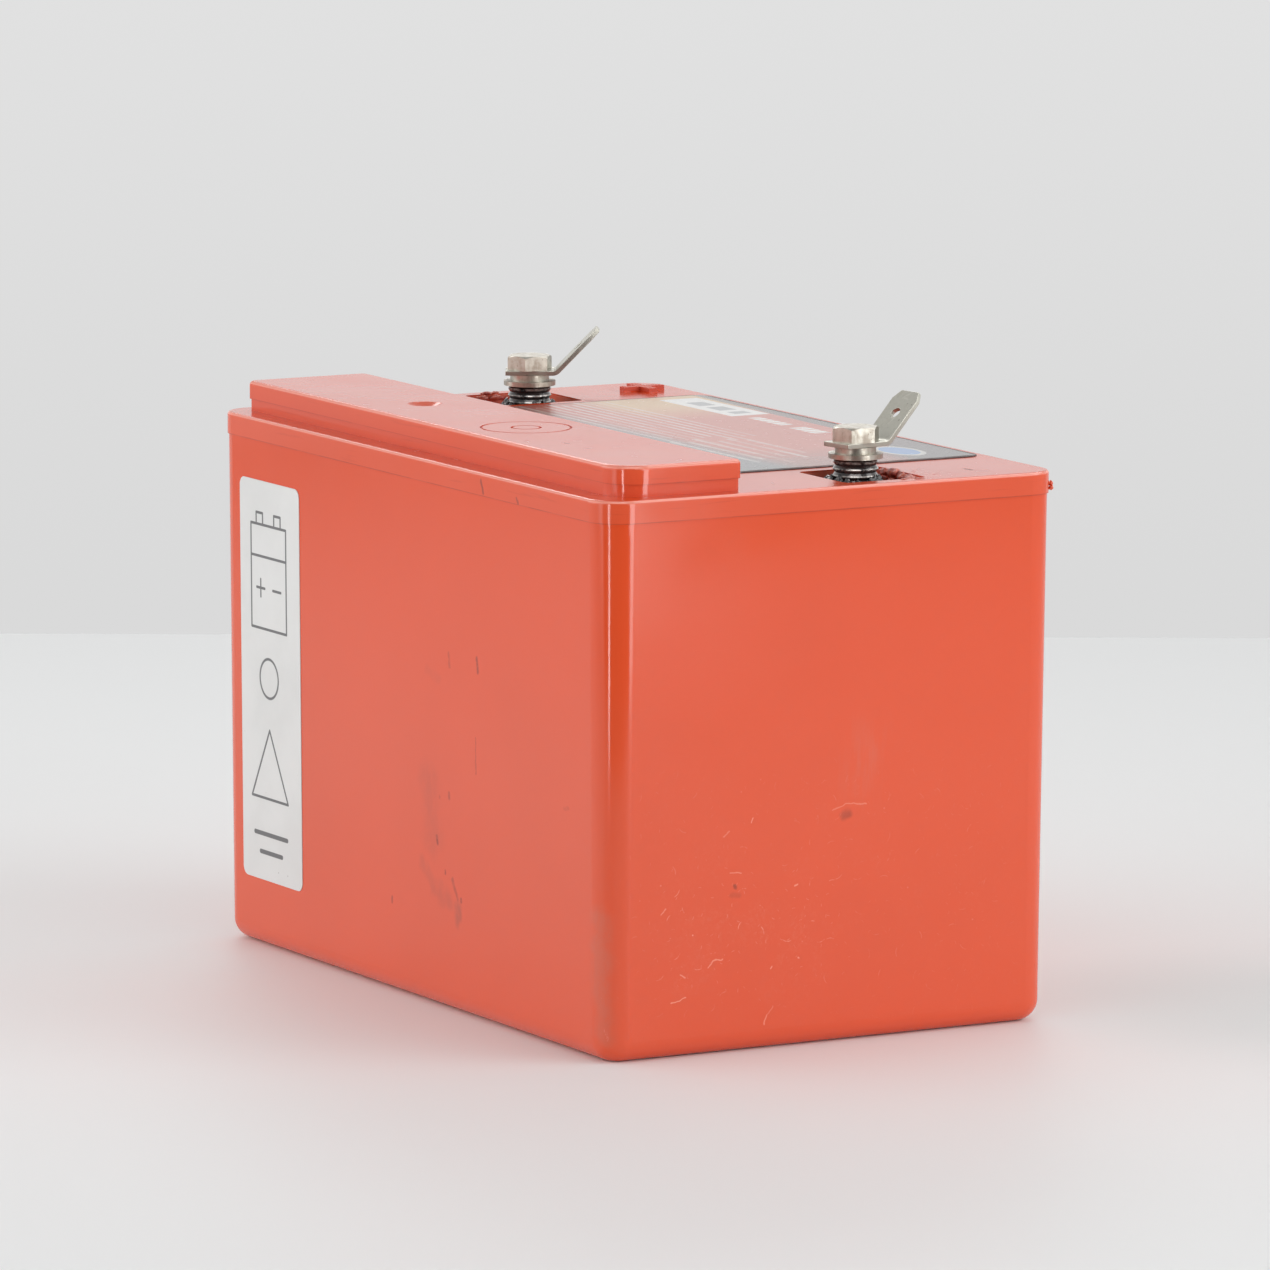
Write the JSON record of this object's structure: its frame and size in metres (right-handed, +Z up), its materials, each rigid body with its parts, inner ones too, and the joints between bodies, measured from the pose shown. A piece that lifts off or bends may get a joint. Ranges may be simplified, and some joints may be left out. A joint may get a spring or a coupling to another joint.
{
  "type": "sealed lead acid battery",
  "caption": "Sealed lead acid block with a glued stepped lid, raised vent cover strip, ribbed terminal posts, hex bolts and bent blade terminals, with plates and straps inside.",
  "frame": {"origin": "middle of the base, on the surface that the block stands on", "axes": "+X along the length towards the negative terminal, +Y towards the long side that the terminals are nearer, +Z up through the lid"},
  "size_m": [0.138, 0.086, 0.1049],
  "materials": {
    "housing": "moulded orange plastic, lightly scuffed",
    "rubber": "moulded black rubber",
    "positive_paste": "dark brown lead dioxide paste on a lead grid",
    "negative_paste": "grey spongy lead on a lead grid",
    "glass_mat": "white glass fibre mat",
    "lead": "cast lead",
    "post": "plated post, darkened by resin",
    "resin": "black cast resin",
    "plated_steel": "zinc or nickel plated steel",
    "tinned_sheet": "tinned brass sheet",
    "top_film": "printed film, fields of colour",
    "side_film": "white printed film"
  },
  "bodies": {
    "root": {"case": "housing", "glass_mats_1": "glass_mat", "glass_mats_2": "glass_mat", "glass_mats_3": "glass_mat", "glass_mats_4": "glass_mat", "glass_mats_5": "glass_mat", "glass_mats_6": "glass_mat", "lid": "housing", "negative_blade_terminal": "tinned_sheet", "negative_bolt": "plated_steel", "negative_flat_washer": "plated_steel", "negative_lock_washer": "plated_steel", "negative_plates_1": "negative_paste", "negative_plates_2": "negative_paste", "negative_plates_3": "negative_paste", "negative_plates_4": "negative_paste", "negative_plates_5": "negative_paste", "negative_plates_6": "negative_paste", "negative_post": "post", "negative_resin_seal": "resin", "negative_strap_1": "lead", "negative_strap_2": "lead", "negative_strap_3": "lead", "negative_strap_4": "lead", "negative_strap_5": "lead", "negative_strap_6": "lead", "partition_weld_1": "lead", "partition_weld_2": "lead", "partition_weld_3": "lead", "partition_weld_4": "lead", "partition_weld_5": "lead", "positive_blade_terminal": "tinned_sheet", "positive_bolt": "plated_steel", "positive_flat_washer": "plated_steel", "positive_lock_washer": "plated_steel", "positive_plates_1": "positive_paste", "positive_plates_2": "positive_paste", "positive_plates_3": "positive_paste", "positive_plates_4": "positive_paste", "positive_plates_5": "positive_paste", "positive_plates_6": "positive_paste", "positive_post": "post", "positive_resin_seal": "resin", "positive_strap_1": "lead", "positive_strap_2": "lead", "positive_strap_3": "lead", "positive_strap_4": "lead", "positive_strap_5": "lead", "positive_strap_6": "lead", "side_label": "side_film", "top_label": "top_film", "valve_cap_1": "rubber", "valve_cap_2": "rubber", "valve_cap_3": "rubber", "valve_cap_4": "rubber", "valve_cap_5": "rubber", "valve_cap_6": "rubber", "vent_cover": "housing"}
  },
  "joints": []
}
